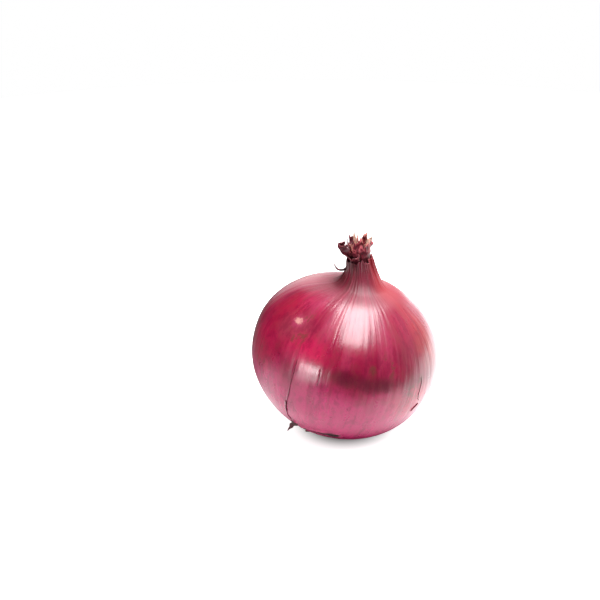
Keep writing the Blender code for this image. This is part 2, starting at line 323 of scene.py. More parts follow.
hollow_outline = [mm(radius, 0, -depth) - Vector((0.0, 0.0, HOLLOW_FLOOR_DEPTH))
                  for radius, depth in HOLLOW_STEPS]
inner_radius = NECK_RADIUS - NECK_WALL
cup_outline = [neck + mm(-0.25, 0, 0.25)]
cup_outline += [Vector((max(inner_radius * share, ON_AXIS), 0.0, NECK_HEIGHT - NECK_CUP_DEPTH * depth))
                for share, depth in CUP_STEPS]


def spin_outline(name, points, steps):
    """Extrudes one point along the outline and spins it into a closed turned shape."""
    piece = add_new(name, bpy.ops.mesh.primitive_plane_add, size=1.0 * MM, location=points[0])
    bpy.ops.object.transform_apply(location=True, rotation=True, scale=True)
    bpy.ops.object.mode_set(mode="EDIT")
    bpy.ops.mesh.select_all(action="SELECT")
    bpy.ops.mesh.merge(type="CENTER")
    for here, there in zip(points, points[1:]):
        bpy.ops.mesh.extrude_region_move(TRANSFORM_OT_translate={"value": there - here})
    bpy.ops.mesh.select_all(action="SELECT")
    bpy.ops.mesh.spin(steps=steps, angle=2.0 * math.pi, center=(0, 0, 0), axis=(0, 0, 1))
    bpy.ops.object.mode_set(mode="OBJECT")
    points_now = get_points(piece)
    near_axis = np.hypot(points_now[:, 0], points_now[:, 1]) < 2.0 * ON_AXIS
    points_now[near_axis, :2] = 0.0
    set_points(piece, points_now)
    face_outwards(piece)
    return piece


bulb = spin_outline("onion_bulb", hollow_outline + outline + cup_outline, SPIN_STEPS)
smooth_surface(bulb, 1)
print("the spun bulb has", len(bulb.data.polygons), "faces")


# %% Press the relief into the bulb, and tear the lip of the neck
def torn_lip(turn):
    """The neck's skins broke off at different heights, in points and notches."""
    torn = np.abs(np.sin(3.5 * turn + 0.4))
    torn = torn + 0.6 * np.abs(np.sin(9.5 * turn + 1.3 * np.sin(turn)))
    return (torn - 0.95) * 1.5 * MM


def press_relief(piece):
    points = get_points(piece)
    turn = np.arctan2(points[:, 1], points[:, 0])
    radius = np.hypot(points[:, 0], points[:, 1])
    height = points[:, 2].copy()
    outer = np.interp(height, outline_heights, outline_radii)
    on_outside = ramp(radius / outer, 0.55, 0.9)
    in_neck = ramp(height, NECK_HEIGHT - NECK_CUP_DEPTH, NECK_HEIGHT - 2.0 * MM)
    follow = np.where(height > 0.0, np.maximum(on_outside, in_neck), on_outside)
    new_radius = np.maximum(radius + relief(turn, height) * follow, 0.0)
    off_axis = 0.5 * ON_AXIS
    scale = np.where(radius > off_axis, new_radius / np.maximum(radius, off_axis), 1.0)
    points[:, 0] *= scale
    points[:, 1] *= scale
    near_lip = ramp(height, NECK_HEIGHT - 4.0 * MM, NECK_HEIGHT) * ramp(radius / NECK_RADIUS, 0.5, 0.8)
    points[:, 2] += torn_lip(turn) * near_lip
    set_points(piece, points)


def press_flat(piece):
    """Where the bulb would sink into the floor, it is pressed level with it instead."""
    points = get_points(piece)
    points[:, 2] = np.maximum(points[:, 2], bulb_low.z)
    set_points(piece, points)


press_relief(bulb)
set_down(bulb)
press_flat(bulb)
bulb_points = get_points(bulb) / MM
print("the bulb's box in mm:", bulb_points.min(axis=0).round(1), bulb_points.max(axis=0).round(1))

# %% [markdown]
# ## Torn edges of the skin
#
# The outermost skin is brittle and has split. Beside each split the paper stands up a hair
# from the bulb, which is what draws the thin dark line that one sees. A groove alone would
# look engraved. So each edge starts as a flat strip of paper, a grid of small faces, and is
# wrapped on the bulb: one side stays buried in the skin and the free side lifts off it.

# %% A strip of paper wrapped on the bulb
PAPER = 0.16 * MM


def wave(draw, where, slowest, fastest):
    """A sine wave of a drawn pace and a drawn start."""
    return np.sin(draw.uniform(slowest, fastest) * where + draw.uniform(0.0, 6.28))


def paper_strip(name, long_cells, wide_cells):
    """A flat sheet one unit long and one unit wide, as a grid."""
    return add_new(name, bpy.ops.mesh.primitive_grid_add, x_subdivisions=long_cells,
                   y_subdivisions=wide_cells, size=1.0)


def thicken_and_set_down(piece, thickness=PAPER):
    apply_modifier(piece, "SOLIDIFY", thickness=thickness, offset=0.0)
    smooth_surface(piece, 1)
    set_down(piece)
    return piece


# %% Wrapping the strip
def wrap_on_skin(piece, turns, heights, width, lift, raggedness, seed):
    """Lays the sheet along a path on the bulb. Its first side is buried and its far side is lifted."""
    flat = get_points(piece)
    along, across = flat[:, 0] + 0.5, flat[:, 1] + 0.5

    def path(part_way):
        stops = np.linspace(0.0, 1.0, len(turns))
        turn = np.interp(part_way, stops, np.radians(turns))
        return turn, np.interp(part_way, stops, heights) * MM

    step = 0.02
    turn, height = path(along)
    turn_ahead, height_ahead = path(along + step)
    turn_behind, height_behind = path(along - step)
    radius = skin_radius(turn, height)
    run_round = (turn_ahead - turn_behind) * radius
    run_up = height_ahead - height_behind
    run = np.hypot(run_round, run_up)
    ends = ramp(along, 0.0, 0.12) * ramp(1.0 - along, 0.0, 0.12)
    draw = np.random.default_rng(seed)
    waves = sum(draw.uniform(0.3, 1.0) * wave(draw, along, 9.0, 60.0) for _ in range(6)) / 4.0
    reach = (across - 0.5) * width * (0.35 + 0.65 * ends) * MM
    reach += np.where(across > 0.8, waves * raggedness * MM * ends, 0.0)
    turn_side = -run_up / run * reach / radius
    height_side = run_round / run * reach
    rise = (-0.12 + (0.12 + lift) * ramp(across, 0.15, 1.0) * ends - 0.06 * (1.0 - ends)) * MM
    rise += 0.05 * MM * waves * across * ends
    set_points(piece, skin_points(turn + turn_side, height + height_side, rise))


def torn_edge(name, turns, heights, width, lift, raggedness, seed, cells):
    piece = paper_strip(name, cells, 6)
    wrap_on_skin(piece, turns, heights, width, lift, raggedness, seed)
    return thicken_and_set_down(piece)


# %% The torn edges of this onion
# degrees round and heights along the edge, its width, lift and raggedness in mm, seed and cells
TORN_EDGES = {
    "left_split_edge": ([236.6, 236.4, 235.8, 234, 232.2, 231.6, 234],
                        [10.5, 3, -5, -12, -17, -20.5, -24.6], 1.3, 0.17, 0.34, 3, 120),
    "left_split_flap": ([233.6, 232.6, 232], [-11.5, -15, -18.5], 1.5, 0.42, 0.3, 31, 40),
    "short_split_edge": ([252.4, 253, 252.6], [8.6, 4, 0.6], 1.1, 0.14, 0.2, 5, 40),
    "right_split_edge": ([322.2, 323.2, 324.8, 326.8], [-9.6, -8.4, -7.3, -6], 1.2, 0.26, 0.3, 8, 50),
    "right_line_edge": ([327.2, 323.6, 322.4, 323.2, 322.4], [-4.6, -3, 0, 4, 8],
                        0.9, 0.1, 0.25, 9, 60),
    "lower_torn_edge": ([278, 272, 264, 253, 244, 236],
                        [-21.8, -22.4, -23.1, -23.9, -25.4, -26.9], 1.5, 0.34, 0.25, 12, 110),
    "back_split_edge": ([62, 64.5, 63, 66], [6, -4, -14, -24], 2, 0.3, 0.4, 17, 90),
}
torn_edges = [torn_edge(name, *cut) for name, cut in TORN_EDGES.items()]
print("torn edges:", len(torn_edges))

# %% [markdown]
# ## The torn skin point
#
# Low on the front left a point of skin has sprung off the bulb. It starts as a flat sheet
# again. Its rows are moved along a path that leaves the skin almost flat and then turns
# away from it, and they narrow to a point on the way.

# %% The skin point
POINT_TURN = math.radians(235.0)
POINT_HEIGHT = -25.0 * MM
POINT_LENGTH = 6.2 * MM
POINT_HALF_WIDTH = 3.4 * MM
POINT_START = -0.25


def point_path():
    """Steps along the skin and off it, from a little before the point leaves the skin."""
    samples = np.linspace(POINT_START, 1.0, 126)
    rise = np.radians(12.0 + 62.0 * np.maximum(samples, 0.0))
    path = np.cumsum(np.stack([np.cos(rise), np.sin(rise)], axis=-1), axis=0)
    path *= POINT_LENGTH * (samples[1] - samples[0])
    return samples, path - path[25]


def skin_point():
    piece = paper_strip("torn_skin_point", 20, 6)
    flat = get_points(piece)
    along, across = flat[:, 0] + 0.5, flat[:, 1]
    outward = np.array([math.cos(POINT_TURN), math.sin(POINT_TURN), 0.0])
    around = np.array([-math.sin(POINT_TURN), math.cos(POINT_TURN), 0.0])
    base = skin_points(np.array([POINT_TURN]), np.array([POINT_HEIGHT]), np.array([0.0]))[0]
    normal = outward * (np.hypot(base[0], base[1]) / WIDEST_RADIUS ** 2)
    normal[2] = POINT_HEIGHT / BASE_DEPTH ** 2
    normal /= np.linalg.norm(normal)
    downward = np.cross(around, normal)
    downward *= -math.copysign(1.0, downward[2])
    along_skin = downward - 0.8 * around
    along_skin /= np.linalg.norm(along_skin)
    sideways = np.cross(normal, along_skin)
    samples, path = point_path()
    reach = along * (1.0 - POINT_START) + POINT_START
    part_way = np.clip(reach, 0.0, 1.0)
    notches = 1.0 + 0.25 * np.sin(17.0 * along + 2.0 * np.sign(across))
    half = POINT_HALF_WIDTH * (1.0 - part_way) ** 0.8 * notches
    fold = 0.5 * MM * (2.0 * across) ** 2 * part_way
    points = base + np.outer(np.interp(reach, samples, path[:, 0]), along_skin)
    points += np.outer(np.interp(reach, samples, path[:, 1]) + 0.05 * MM - fold, normal)
    points += np.outer(across * half, sideways)
    set_points(piece, points)
    return thicken_and_set_down(piece)


flake = skin_point()

# %% [markdown]
# ## Dried leaf ends
#
# The onion's leaves were cut off above the neck, and what is left of them has dried into
# thin, curled strips of dark red to straw-coloured paper. Each is a sheet that starts inside
# the neck, leans out, curls along its length and rolls up across its width, and ends in a
# ragged tear. One function bends such a sheet, and a table gives each leaf end its own
# habit. The CAD model has the same leaf ends as stiff tapers, and they stand in the same
# places.

# %% Bending a sheet into a leaf end
FOOT_SUNK = 5.0 * MM
CRUMPLE = 0.75 * MM
CRUMPLE_GRAIN = 2.3 * MM
CRUMPLE_SEED = 11
noise.seed_set(CRUMPLE_SEED)


def bend_leaf(piece, azimuth, foot_radius, width, length, lean, curl, tip_curl, roll, twist, taper, seed):
    """Rows of the sheet follow a curling path; columns roll up across it."""
    flat = get_points(piece)
    along, across = flat[:, 0] + 0.5, flat[:, 1] * 2.0
    draw = np.random.default_rng(seed)
    total = length * MM + FOOT_SUNK
    foot_share = FOOT_SUNK / total

    samples = np.linspace(0.0, 1.0, 400)
    free_samples = np.clip((samples - foot_share) / (1.0 - foot_share), 0.0, 1.0)
    angles = math.radians(lean) * ramp(samples, 0.5 * foot_share, foot_share + 0.12)
    angles = angles + math.radians(curl) * free_samples ** 1.3
    angles = angles + math.radians(tip_curl) * ramp(free_samples, 0.62, 1.0)
    out = np.cumsum(np.sin(angles)) * total / len(samples)
    up = np.cumsum(np.cos(angles)) * total / len(samples)
    teeth = sum(draw.uniform(0.5, 1.0) * np.abs(wave(draw, across, 1.0, 7.0)) for _ in range(4))
    reach = along * (1.0 - 0.11 * teeth * ramp(along, 0.45, 1.0))
    free = np.clip((reach - foot_share) / (1.0 - foot_share), 0.0, 1.0)
    path_out = np.interp(reach, samples, out)
    path_up = np.interp(reach, samples, up)
    angle = np.interp(reach, samples, angles)

    side_shape = 0.62 + 0.38 * ramp(free, 0.0, 0.45)
    side_shape *= 1.0 - taper * ramp(free, 0.45, 1.05)
    notches = draw.uniform(12.0, 25.0) * along + np.sign(across) * draw.uniform(0.0, 6.28)
    half = width * MM / 2 * side_shape * (1.0 + 0.09 * np.sin(notches))
    rolled = math.radians(roll) * (0.35 + 0.65 * free)
    bend = rolled * across
    safe = np.where(np.abs(rolled) < 0.01, 0.01, rolled)
    sideways = half * np.sin(bend) / safe
    inwards = half * (1.0 - np.cos(bend)) / safe
    ribs = 0.07 * MM * wave(draw, across, 9.0, 13.0)
    crease = 0.22 * MM * np.sin(draw.uniform(3.0, 5.0) * across + 5.0 * along + draw.uniform(0.0, 6.28))
    inwards = inwards + (ribs + crease) * ramp(free, 0.0, 0.3)

    turn = math.radians(twist) * free
    local_out = -inwards * np.cos(turn) - sideways * np.sin(turn)
    local_side = -inwards * np.sin(turn) + sideways * np.cos(turn)
    x = foot_radius * MM + path_out + local_out * np.cos(angle)
    z = NECK_HEIGHT - FOOT_SUNK + path_up - local_out * np.sin(angle)
    facing = math.radians(azimuth)
    points = np.stack([x * math.cos(facing) - local_side * math.sin(facing),
                       x * math.sin(facing) + local_side * math.cos(facing), z], axis=-1)
    for point, loose in zip(points, ramp(free, 0.0, 0.35)):
        point += CRUMPLE * loose * np.array(noise.noise_vector(Vector(point) / CRUMPLE_GRAIN))
    set_points(piece, points)


def leaf_end(name, *habit):
    piece = paper_strip(name, 40, 16)
    bend_leaf(piece, *habit)
    return thicken_and_set_down(piece, PAPER * 1.3)


# %% The leaf ends of this onion
# the slot of its finish, azimuth, foot radius, width, length, lean, curl, curl of the tip, roll,
# twist, taper and seed
LEAF_HABITS = {
    "dark_curl_leaf": ("dark_leaf", 190, 3.6, 9.2, 12.8, 46, -48, -100, 150, 14, 0.15, 1),
    "front_fold_leaf": ("dark_leaf", 236, 4, 8, 5, 38, 30, 95, 92, 0, 0.05, 2),
    "front_strip_leaf": ("red_leaf", 268, 3.4, 4.6, 11.8, 2, 8, 95, 95, 14, 0.12, 3),
    "front_right_leaf": ("red_leaf", 300, 4, 5, 10.2, 6, 14, 50, 85, -16, 0.2, 4),
    "right_scroll_leaf": ("rose_leaf", 338, 4, 4.8, 12.4, 10, -14, 70, 105, 18, 0.2, 5),
    "right_leaf": ("red_leaf", 14, 4, 4.6, 10, 10, 20, 60, 90, 14, 0.25, 6),
    "back_right_leaf": ("rose_leaf", 54, 4, 4.6, 12, 8, 18, 60, 100, -16, 0.3, 7),
    "back_leaf": ("red_leaf", 90, 4, 4.8, 9.6, 12, 30, 60, 90, 10, 0.25, 8),
    "back_left_leaf": ("dark_leaf", 125, 4, 5.4, 12, 14, 10, -60, 120, -12, 0.25, 9),
    "left_short_leaf": ("red_leaf", 157, 4, 4.6, 8.4, 26, 10, 70, 95, 8, 0.25, 10),
    "pale_tip_leaf": ("pale_leaf", 232, 1.6, 2.8, 14.6, 6, -10, -46, 120, 30, 0.45, 11),
    "pale_scroll_leaf": ("pale_leaf", 338, 2.8, 4.8, 12.4, 14, 10, 60, 200, -20, 0.15, 12),
    "inner_back_leaf": ("rose_leaf", 85, 1.9, 3.8, 11.4, 4, 12, 40, 110, 16, 0.3, 13),
}
leaves = {name: leaf_end("dried_" + name, *habit) for name, (_, *habit) in LEAF_HABITS.items()}
print("leaf ends:", len(leaves))

# %% [markdown]
# Between the named leaf ends the neck is packed with torn shreds of the inner leaves. They
# are made by the same function, with habits that a spiral hands out, so that no two
# neighbours match and the dark gaps between them are filled.

# %% Shreds packed between the leaf ends
SHREDS = 14
GOLDEN_TURN = 137.5


def shred(number):
    draw = np.random.default_rng(200 + number)
    azimuth = GOLDEN_TURN * number
    foot_radius = 0.8 + 2.9 * math.sqrt((number + 0.5) / SHREDS)
    return leaf_end(f"dried_shred_{number + 1:02d}", azimuth, foot_radius, draw.uniform(1.6, 3.2),
                    draw.uniform(5.0, 10.5), draw.uniform(2.0, 16.0), draw.uniform(-20.0, 40.0),
                    draw.uniform(-60.0, 110.0), draw.uniform(70.0, 170.0), draw.uniform(-30.0, 30.0),
                    draw.uniform(0.2, 0.6), 300 + number)


shreds = [shred(number) for number in range(SHREDS)]
print("shreds:", len(shreds))


# %% [markdown]
# ## Thin strands and roots
#
# A dried strand hooks up beside the neck, and dried roots lie in the hollow at the other
# end. They are round, so a curve with a bevel is the natural start: points along the
# strand, a thickness that fades to the tip, then conversion to a mesh. The routes are the
# CAD model's own, so each strand lies inside the space that its solid holds.

# %% A strand through a few points
def smooth_route(points, steps_between):
    """A smooth curve through the points, as many short straight steps."""
    route = []
    for index in range(len(points) - 1):
        before = points[max(index - 1, 0)]
        start, end = points[index], points[index + 1]
        after = points[min(index + 2, len(points) - 1)]
        route += interpolate_bezier(start, start + (end - before) / 6.0,
                                    end - (after - start) / 6.0, end, steps_between + 1)[:-1]
    return route + [points[-1]]


def strand(name, points, radius, tip_share, seed):
    """A tapering, slightly lumpy strand, made as a curve and turned into a mesh."""
    draw = np.random.default_rng(seed)
    route = smooth_route(points, 9)
    piece = add_new(name, bpy.ops.curve.primitive_nurbs_path_add)
    curve = piece.data
    curve.splines.clear()
    spline = curve.splines.new("POLY")
    spline.points.add(len(route) - 1)
    for index, (knot, point) in enumerate(zip(spline.points, route)):
        knot.co = (*point, 1.0)
        part_way = index / (len(route) - 1)
        knot.radius = (1.0 - (1.0 - tip_share) * part_way) * draw.uniform(0.86, 1.1)
    curve.dimensions = "3D"
    curve.bevel_depth = radius
    curve.bevel_resolution = 3
    curve.use_fill_caps = True
    pick(piece)
    bpy.ops.object.convert(target="MESH")
    piece = bpy.context.object
    face_outwards(piece)
    set_down(piece)
    return piece


HOOK_RADIUS = 0.62 * MM
hook_start = mm(-5.1, -0.9, 39.9)
hook_steps = [mm(0, 0, 0), mm(-2.5, -0.4, -0.7), mm(-4.4, -0.5, 0), mm(-5.4, -0.6, 2.3)]
hook = strand("dried_hook_strand", [hook_start + step for step in hook_steps], HOOK_RADIUS, 0.5, 21)
print("the hooked strand has", len(hook.data.polygons), "faces")

# %% [markdown]
# ## The root end
#
# Under the bulb the skins turn in to a shallow hollow. The corky disc in it is what the
# roots grew from. The disc is turned, like the bulb, and then roughened. The roots are
# strands that bend over the hollow's lip on the side where the leaning bulb stands clear
# of the floor. Finer hairs between them keep the tuft from looking combed.

# %% The corky disc
DISC_RADIUS = 6.2 * MM
DISC_THICKNESS = 1.3 * MM
# shares of the disc's radius and thickness
DISC_STEPS = [(0, 0), (0.6, 0), (0.94, 0), (1, 0.6), (0.8, 1), (0.5, 0.95), (0.25, 0.8),
              (0, 0.7)]
disc_top = -HOLLOW_FLOOR_DEPTH - 0.9 * MM
disc_outline = [Vector((max(DISC_RADIUS * share, ON_AXIS), 0.0, disc_top - DISC_THICKNESS * depth))
                for share, depth in DISC_STEPS]
disc = spin_outline("corky_root_disc", disc_outline, 40)
smooth_surface(disc, 2)
disc_points = get_points(disc)
disc_turn = np.arctan2(disc_points[:, 1], disc_points[:, 0])
disc_radius = np.hypot(disc_points[:, 0], disc_points[:, 1])
bumps = np.sin(23.0 * disc_turn + 3.0 * np.sin(5.0 * disc_turn)) * np.sin(disc_radius / (0.45 * MM))
underside = ramp(disc_top - disc_points[:, 2], 0.2 * MM, 0.7 * MM)
disc_points[:, 2] += 0.12 * MM * bumps * underside * ramp(disc_radius, 0.0, 2.0 * MM)
set_points(disc, disc_points)
set_down(disc)
print("the corky disc has", len(disc.data.polygons), "faces")


# %% The roots, on the CAD model's routes
SPLAYED_ROOTS = 9
CURLED_ROOTS = 4
ROOT_RADIUS = 0.42 * MM
ROOT_RING_RADIUS = 7.1 * MM


def ring_place(radius, depth, azimuth):
    return Vector((radius * math.cos(azimuth), radius * math.sin(azimuth), -depth))


def underside_depth(radius):
    return BASE_DEPTH * math.sqrt(1.0 - (radius / WIDEST_RADIUS) ** 2)


def splayed_route(number, count, spread, shift=0.0, length_share=1.0):
    azimuth = math.pi + math.radians(spread) * (2.0 * number / (count - 1) - 1.0) + shift
    reach = 5.0 * MM * (1.0 + 0.35 * math.sin(2.4 * number)) * length_share
    sway = 0.03 * math.sin(1.7 * number)
    hang = ROOT_RADIUS + 0.45 * MM
    lip, past_lip = HOLLOW_RADIUS - 0.5 * MM, HOLLOW_RADIUS + 2.2 * MM
    end = past_lip + reach
    droop = 0.35 * MM * (1.0 + math.cos(1.9 * number))
    return [ring_place(ROOT_RING_RADIUS - 1.5 * MM, HOLLOW_FLOOR_DEPTH + 1.9 * MM, azimuth),
            ring_place(lip, underside_depth(lip) + hang, azimuth),
            ring_place(past_lip, underside_depth(past_lip) + hang, azimuth + sway),
            ring_place(end, underside_depth(end) + hang + droop, azimuth + 2.0 * sway)]


def curled_route(number):
    start = math.radians(-105.0 + 58.0 * number)
    depth = HOLLOW_FLOOR_DEPTH + 1.7 * MM
    return [ring_place(ROOT_RING_RADIUS + 0.1 * MM * step, depth - 0.12 * MM * step,
                       start + math.radians(13.0) * step) for step in range(4)]


roots = {}
for number in range(SPLAYED_ROOTS):
    name = f"root_{number + 1:02d}"
    route = splayed_route(number, SPLAYED_ROOTS, 50.0)
    roots[name] = strand("dried_" + name, route, ROOT_RADIUS, 0.5, 40 + number)
for number in range(CURLED_ROOTS):
    name = f"root_{SPLAYED_ROOTS + number + 1:02d}"
    roots[name] = strand("dried_" + name, curled_route(number), ROOT_RADIUS * 0.85, 0.6, 60 + number)
HAIRS = 12
HAIR_RADIUS = 0.16 * MM
hairs = []
for number in range(HAIRS):
    length_share = 0.55 + 0.3 * math.sin(1.3 * number)
    route = splayed_route(number, HAIRS, 54.0, 0.05 * math.sin(3.1 * number), length_share)
    hairs.append(strand(f"root_hair_{number + 1:02d}", route, HAIR_RADIUS, 0.5, 80 + number))
print("roots:", len(roots), "and finer hairs:", len(hairs))

# %% [markdown]
# ## Writing materials as sums
#
# A skin like this is many thin effects laid over each other, and each is a bit of
# arithmetic on noise. Wiring that by hand is slow to read. So a small class wraps a socket,
# and adding or multiplying two of them adds the Math node that does it. Every other node
# comes from one method.

# %% A wire
class Wire:
    """A value that runs through a material; arithmetic on it adds Math nodes."""

    def __init__(self, board, socket):
        self.board = board
        self.socket = socket

    def __abs__(self):
        return self.board.maths("ABSOLUTE", self)


def teach_operator(symbol, operation):
    """Gives wires an operator and its reflected form, where the number comes first."""
    setattr(Wire, f"__{symbol}__", lambda wire, other: wire.board.maths(operation, wire, other))
    setattr(Wire, f"__r{symbol}__", lambda wire, other: wire.board.maths(operation, other, wire))


OPERATORS = {"add": "ADD", "sub": "SUBTRACT", "mul": "MULTIPLY", "truediv": "DIVIDE", "pow": "POWER"}
for symbol, operation in OPERATORS.items():
    teach_operator(symbol, operation)
print("wires can:", ", ".join(OPERATORS))


# %% A board that nodes sit on
class Board:
    """The nodes of one material, or of the room's light."""

    def __init__(self, tree, shader):
        self.tree = tree
        self.shader = shader

    def put(self, socket, value):
        if isinstance(value, Wire):
            self.tree.links.new(value.socket, socket)
        elif isinstance(value, tuple) and len(value) == 3 and len(socket.default_value) == 4:
            socket.default_value = (*value, 1.0)
        else:
            socket.default_value = value

    def node(self, kind, settings, sockets, output=0):
        """Adds a node, first its settings, then its sockets, and gives back one output."""
        made = self.tree.nodes.new("ShaderNode" + kind)
        for name, value in settings.items():
            setattr(made, name, value)
        for name, value in sockets.items():
            self.put(made.inputs[name], value)
        return Wire(self, made.outputs[output])

    def maths(self, operation, *values):
        return self.node("Math", {"operation": operation}, dict(enumerate(values)))

    def root(self, value):
        return self.maths("SQRT", value)

    def blend(self, share, first, second):
        """Mixes two colours; share 0 gives the first and 1 the second."""
        return self.node("Mix", {"data_type": "RGBA"}, {0: share, 6: first, 7: second}, 2)

    def rise(self, value, start, end):
        """0 below start, 1 above end, soft between."""
        return self.node("MapRange", {"interpolation_type": "SMOOTHSTEP"},
                         {"Value": value, "From Min": start, "From Max": end})

    def noise(self, where, scale, detail=2.0, roughness=0.5):
        return self.node("TexNoise", {}, {"Vector": where, "Scale": scale, "Detail": detail,
                                          "Roughness": roughness})

    def vector(self, x, y, z):
        return self.node("CombineXYZ", {}, {0: x, 1: y, 2: z})

    def parts_of(self, vector):
        split = self.node("SeparateXYZ", {}, {"Vector": vector}).socket.node
        return [Wire(self, split.outputs[side]) for side in range(3)]

    def bump(self, height, strength, distance):
        return self.node("Bump", {}, {"Strength": strength, "Distance": distance, "Height": height})

    def finish(self, **sockets):
        for name, value in sockets.items():
            self.put(self.shader.inputs[name.replace("_", " ")], value)


def start_material(name):
    material = bpy.data.materials.new(name)
    material.use_nodes = True
    return material, Board(material.node_tree, material.node_tree.nodes["Principled BSDF"])


# %% [markdown]
# ## Finding one's way on the skin
#
# Every pattern on an onion runs from pole to pole. So the materials first undo the lean with
# a Mapping node and the neck's bend with a little arithmetic, and get back the upright onion
# in millimetres. The direction round the axis
# is kept as a point on a circle, not as an angle, because an angle jumps where it starts
# again and would leave a seam down the back.

# %% The upright onion inside a material
def upright(board):
    """Where a place lies on the upright onion, in millimetres, with the bend of the neck undone."""
    turn_back = Euler((0.0, -LEAN, 0.0))
    shift = -(turn_back.to_matrix() @ axis_foot) / MM
    object_place = board.node("TexCoord", {}, {}, "Object")
    mapped = board.node("Mapping", {}, {"Vector": object_place, "Location": tuple(shift),
                                        "Rotation": tuple(turn_back), "Scale": (1.0 / MM,) * 3})
    x, y, z = board.parts_of(mapped)
    bent_length = BENT_LENGTH / MM
    rise = board.maths("MAXIMUM", z - BEND_START / MM, 0.0) / bent_length
    part_way = board.maths("MINIMUM", rise, 1.0)
    x = x + (part_way ** 3.0 - part_way ** 4.0 * 0.5) * (NECK_BEND * bent_length)
    x = x + (rise - part_way) * (bent_length * math.sin(NECK_BEND))
    distance = board.root(x * x + y * y + 0.01)
    return SimpleNamespace(mapped=mapped, z=z, distance=distance,
                           around_x=x / distance, around_y=y / distance)


def streaks(board, place, count, drift, detail=2.0, shift=0.0):
    """Noise stretched from pole to pole; count is roughly how many streaks go round."""
    size = count / 6.28
    where = board.vector(place.around_x * size, place.around_y * size, place.z * drift + shift)
    return board.noise(where, 1.0, detail)


def patch(board, place, azimuth, height, half_width, half_height, ragged=0.5, grain=0.16):
    """A soft-edged area of the skin: 1 in its middle, 0 outside. Degrees round, millimetres up."""
    turn = math.radians(azimuth)
    facing = place.around_x * math.cos(turn) + place.around_y * math.sin(turn)
    across = board.root(board.maths("MAXIMUM", 2.0 - facing * 2.0, 0.0)) / math.radians(half_width)
    up = (place.z - height) / half_height
    away = board.root(across * across + up * up)
    away = away + (board.noise(place.mapped, grain, 3.0, 0.6) - 0.5) * ragged
    return 1.0 - board.rise(away, 0.25, 1.0)


# %% [markdown]
# ## The skin
#
# Dry red onion skin is a stack of clear, wine-coloured films. Where several lie over each
# other it is deep crimson, but the deep crimson band across the front middle is painted shade,
# where the skin faces the dim room. Where the films are few, the pale flesh shines through, so
# it goes to magenta below and to orange red on one shoulder. Veins show as finer, darker and
# lighter lines. A pale cream spot high on the front left is a painted highlight. Handling has
# waxed the outermost film smooth, so it mirrors the lights in a soft, streaky way. The colour
# is built from wide areas down to fine lines, then the gloss, then the small bumps. Most of the
# gloss comes from the base layer, which follows the bumps, and a faint clear coat adds the wax.
# The slit is painted nearly black, partly its dark inner layer and partly painted shade, and
# the hollow of the neck is painted nearly black as shade. The neck and the slit's inside are
# dull.

# %% Colours of the skin, and where each lies
CRIMSON = (0.225, 0.0030, 0.032)
BRIGHT_CRIMSON = (0.240, 0.0034, 0.026)
DEEP_CRIMSON = (0.085, 0.0008, 0.013)
FIERY_CRIMSON = (0.400, 0.0060, 0.054)
DUSTY_ROSE = (0.230, 0.0320, 0.054)
MAGENTA = (0.450, 0.011, 0.112)
ORANGE_RED = (0.260, 0.014, 0.020)
ROSE_PINK = (0.360, 0.042, 0.110)
OLIVE_BROWN = (0.100, 0.022, 0.018)
NECK_MAROON = (0.090, 0.0010, 0.011)
DUSTY_BROWN = (0.062, 0.010, 0.011)
CREAM = (0.780, 0.520, 0.400)
ROOT_TAN = (0.200, 0.085, 0.045)
TORN_RIM = (0.045, 0.003, 0.006)
NEARLY_BLACK = (0.016, 0.0015, 0.003)

# azimuth, height, half width, half height, strength, raggedness and colour
SKIN_AREAS = [
    (206, 21, 20, 13, 0.8, 0.6, BRIGHT_CRIMSON),
    (220, 28.5, 26, 6, 0.25, 0.6, ROSE_PINK),
    (224, 17.5, 21, 9.5, 0.6, 0.8, DUSTY_ROSE),
    (240, 11, 26, 9, 0.85, 0.6, FIERY_CRIMSON),
    (204, 4, 22, 13, 0.85, 0.7, FIERY_CRIMSON),
    (168, 8, 17, 13, 0.6, 0.7, DEEP_CRIMSON),
    # these two deep crimson areas across the front middle are painted shade: the dark band where the skin
    # faces the dim room
    (269, 6.6, 14, 5.2, 0.85, 0.6, DEEP_CRIMSON),
    (288, 5.4, 20, 5.2, 0.85, 0.6, DEEP_CRIMSON),
    (236, 6, 17, 8, 0.35, 0.7, ROSE_PINK),
    (334, 20, 17, 15, 0.8, 0.7, ORANGE_RED),
    (322, -4, 30, 11, 0.9, 0.7, FIERY_CRIMSON),
    (20, 12, 30, 12, 0.7, 0.8, DEEP_CRIMSON),
    (70, 22, 28, 13, 0.75, 0.8, BRIGHT_CRIMSON),
    (120, 4, 32, 14, 0.7, 0.8, DEEP_CRIMSON),
    (150, 24, 26, 9, 0.55, 0.8, ORANGE_RED),
]

# azimuth, height, half width and half height
MOTTLED_AREAS = [(229, 18.5, 12, 8), (291, 12, 13, 6), (318, 2, 10, 9),
                 (205, 2, 12, 9), (40, 6, 20, 12), (96, -8, 18, 12),
                 (160, -4, 18, 12)]
# the same four for the slit, painted nearly black: partly its dark inner layer, partly painted shade in
# the recess
SLIT_PAINTED_SHADES = [(239, -27.4, 8, 0.9), (250, -26.2, 8, 1.1), (260, -25.5, 8, 1.6),
               (270, -24.8, 8.5, 2.5)]

# a pale spot painted in as a small lamp's highlight: the same six, then the size of its grain, and the
# colour
PAINTED_HIGHLIGHT_SPOT = [(223.5, 20, 7, 3.4, 0.35, 1.1, 0.5, ROSE_PINK),
             (223.5, 20.2, 5.2, 1.4, 0.3, 1.6, 0.9, CREAM)]
print("areas of colour:", len(SKIN_AREAS), "and mottled ones:", len(MOTTLED_AREAS))


